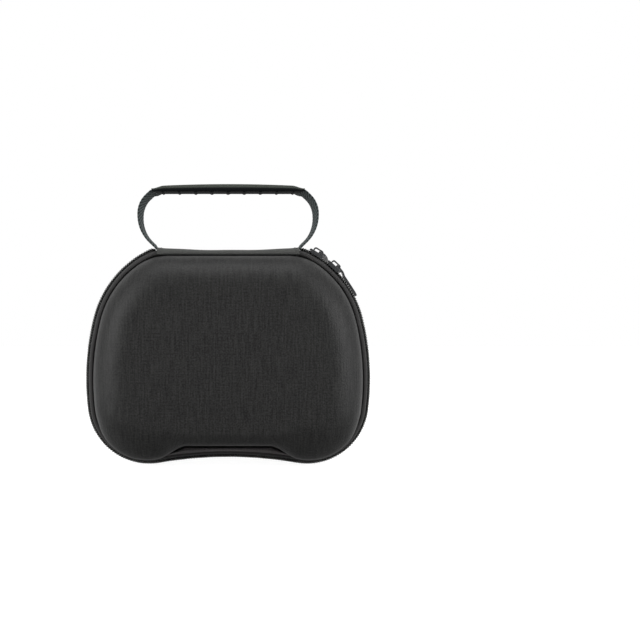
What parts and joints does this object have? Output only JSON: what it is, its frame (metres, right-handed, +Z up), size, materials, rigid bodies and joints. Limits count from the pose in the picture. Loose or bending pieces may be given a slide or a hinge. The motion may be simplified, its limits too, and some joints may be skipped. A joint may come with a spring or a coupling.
{
  "type": "controller carrying case",
  "caption": "Hard zipped carrying case for a game controller: two moulded fabric-covered shells, a sewn top spine, a two-slider zip and a webbing handle with a ribbed grip.",
  "frame": {"origin": "middle of the closed case's footprint, on the surface it stands on", "axes": "+Z up, from the lobes to the handle; +X to the right of someone who faces the lid; the lid faces -Y and the base faces +Y; the seam is the plane Y = 0"},
  "size_m": [0.185, 0.072, 0.1809],
  "materials": {
    "case_fabric": "fine woven nylon bonded to the moulded shell, matt",
    "binding_fabric": "ribbed grosgrain, slightly lighter than the shell",
    "lining_fabric": "short soft pile",
    "zip_tape": "woven polyester tape",
    "zip_coil": "nylon coil, satin",
    "slider_metal": "black lacquer, satin",
    "webbing": "diagonally ribbed webbing",
    "grip": "smooth moulded, satin",
    "elastic": "woven elastic",
    "mesh": "knitted net"
  },
  "bodies": {
    "base": {"base_shell": "case_fabric", "base_side_band": "binding_fabric", "base_zip_tape": "zip_tape", "base_zip_coil": "zip_coil", "base_inner_binding": "binding_fabric", "retaining_strap": "elastic", "strap_patches": "binding_fabric", "spine_cover": "binding_fabric", "spine_lining": "lining_fabric"},
    "lid": {"lid_shell": "case_fabric", "lid_side_band": "binding_fabric", "lid_zip_tape": "zip_tape", "lid_zip_coil": "zip_coil", "lid_inner_binding": "binding_fabric", "mesh_pocket": "mesh", "pocket_hem": "elastic"},
    "handle": {"handle_webbing": "webbing", "handle_grip": "grip"},
    "slider_1": {"slider_1_body": "slider_metal"},
    "puller_1": {"slider_1_puller": "slider_metal"},
    "slider_2": {"slider_2_body": "slider_metal"},
    "puller_2": {"slider_2_puller": "slider_metal"}
  },
  "joints": [
    {"name": "lid_hinge", "type": "hinge", "parent": "base", "child": "lid", "pos_m": [0, 0, 0.146], "axis": [-1, 0, 0], "range_deg": [0, 180], "deforming": ["spine_cover", "spine_lining"]},
    {"name": "handle_swing", "type": "hinge", "parent": "base", "child": "handle", "pos_m": [0, 0, 0.146], "axis": [-1, 0, 0], "range_deg": [0, 90]},
    {"name": "slider_1_travel", "type": "hinge", "parent": "base", "child": "slider_1", "pos_m": [0.02236, 0, 0.0788], "axis": [0, 1, 0], "range_deg": [0, 1.9]},
    {"name": "slider_2_travel", "type": "hinge", "parent": "base", "child": "slider_2", "pos_m": [0.02236, 0, 0.0788], "axis": [0, 1, 0], "range_deg": [0, 22]},
    {"name": "puller_1_turn", "type": "hinge", "parent": "slider_1", "child": "puller_1", "pos_m": [0.06151, 0, 0.13661], "axis": [0.524, 0, 0.8517], "range_deg": [-16, 40]},
    {"name": "puller_2_lift", "type": "hinge", "parent": "slider_2", "child": "puller_2", "pos_m": [0.07101, 0, 0.12879], "axis": [0, -1, 0], "range_deg": [0, 145]}
  ],
  "couplings": [
    {"joint": "handle_swing", "follows": "lid_hinge", "ratio": 0.5}
  ]
}
